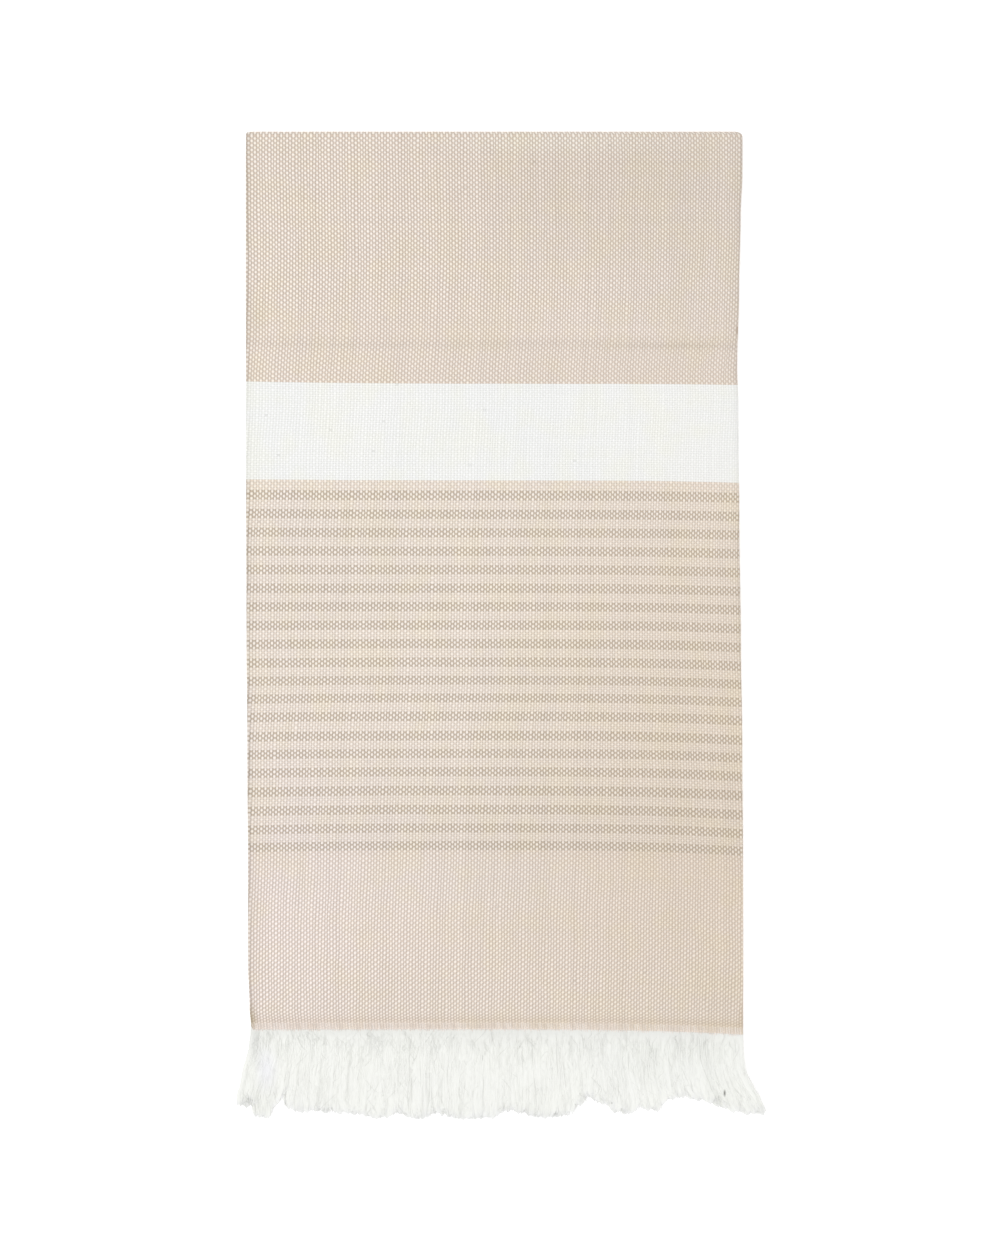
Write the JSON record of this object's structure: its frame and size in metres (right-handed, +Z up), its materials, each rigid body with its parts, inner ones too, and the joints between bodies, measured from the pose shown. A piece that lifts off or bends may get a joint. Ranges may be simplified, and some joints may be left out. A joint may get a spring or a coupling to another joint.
{
  "type": "folded hammam towel",
  "caption": "Hand-size cotton hammam towel, folded in half each way and lying flat, with a striped end, a pale band, a stitched hem and a loose fringe.",
  "frame": {"origin": "on the floor under the middle of the folded towel's box, fringe included", "axes": "+X across the towel from the lengthwise fold to the selvedges, +Y up the towel from the fringe to the crosswise fold, +Z up from the floor through the layers"},
  "size_m": [0.2634, 0.4998, 0.0068],
  "materials": {
    "cloth": "plain weave of thick cotton: off-white warp over beige weft, with an off-white band and taupe weft stripes, matt",
    "fringe": "loose off-white cotton warp ends, brushed and unknotted, matt"
  },
  "bodies": {
    "root": {"towel_cloth": "cloth", "fringe_upper_end": "fringe", "fringe_under_end": "fringe"}
  },
  "joints": []
}
